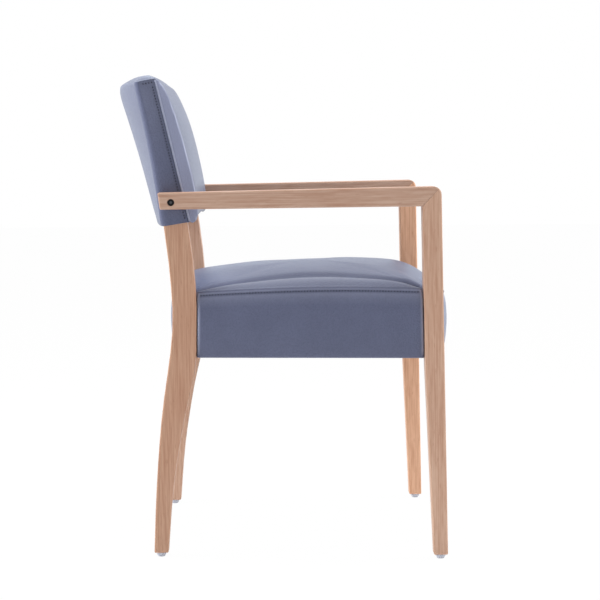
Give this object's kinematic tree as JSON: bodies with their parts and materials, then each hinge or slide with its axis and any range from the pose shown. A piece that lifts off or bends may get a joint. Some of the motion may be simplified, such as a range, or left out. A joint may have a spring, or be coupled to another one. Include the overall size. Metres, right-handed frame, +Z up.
{
  "type": "dining armchair",
  "caption": "Dining armchair with a clear-finished beech frame, mitred arms, sabre rear legs and a padded leatherette seat and back.",
  "frame": {"origin": "on the floor under the middle of the chair's overall box", "axes": "+Z up, -Y towards the front of the seat, +X towards the sitter's left arm"},
  "size_m": [0.56, 0.6002, 0.8474],
  "materials": {
    "beech": "clear satin lacquer on beech",
    "plywood": "raw plywood",
    "leatherette": "blue-grey grained leatherette",
    "foam": "moulded upholstery foam",
    "nonwoven": "black nonwoven",
    "glide_plastic": "grey plastic",
    "zinc_steel": "zinc-plated",
    "black_steel": "black oxide"
  },
  "bodies": {
    "root": {"arm_bolt_left": "black_steel", "arm_bolt_right": "black_steel", "arm_left": "beech", "arm_right": "beech", "back_board": "plywood", "back_cover": "leatherette", "back_dowel_high_left": "beech", "back_dowel_high_right": "beech", "back_dowel_low_left": "beech", "back_dowel_low_right": "beech", "back_foam": "foam", "corner_block_front_left": "beech", "corner_block_front_right": "beech", "corner_block_rear_left": "beech", "corner_block_rear_right": "beech", "dust_cover": "nonwoven", "front_leg_left": "beech", "front_leg_right": "beech", "glide_front_left": "glide_plastic", "glide_front_right": "glide_plastic", "glide_pin_front_left": "zinc_steel", "glide_pin_front_right": "zinc_steel", "glide_pin_rear_left": "zinc_steel", "glide_pin_rear_right": "zinc_steel", "glide_rear_left": "glide_plastic", "glide_rear_right": "glide_plastic", "leg_insert_left": "zinc_steel", "leg_insert_right": "zinc_steel", "mitre_dowel_left": "beech", "mitre_dowel_right": "beech", "rail_dowel_front_left": "beech", "rail_dowel_front_right": "beech", "rail_dowel_rear_left": "beech", "rail_dowel_rear_right": "beech", "rail_dowel_side_front_left": "beech", "rail_dowel_side_front_right": "beech", "rail_dowel_side_rear_left": "beech", "rail_dowel_side_rear_right": "beech", "rear_leg_left": "beech", "rear_leg_right": "beech", "seat_board": "plywood", "seat_cover": "leatherette", "seat_foam": "foam", "seat_rail_front": "beech", "seat_rail_left": "beech", "seat_rail_rear": "beech", "seat_rail_right": "beech", "seat_screw_front_left": "zinc_steel", "seat_screw_front_right": "zinc_steel", "seat_screw_rear_left": "zinc_steel", "seat_screw_rear_right": "zinc_steel"}
  },
  "joints": []
}
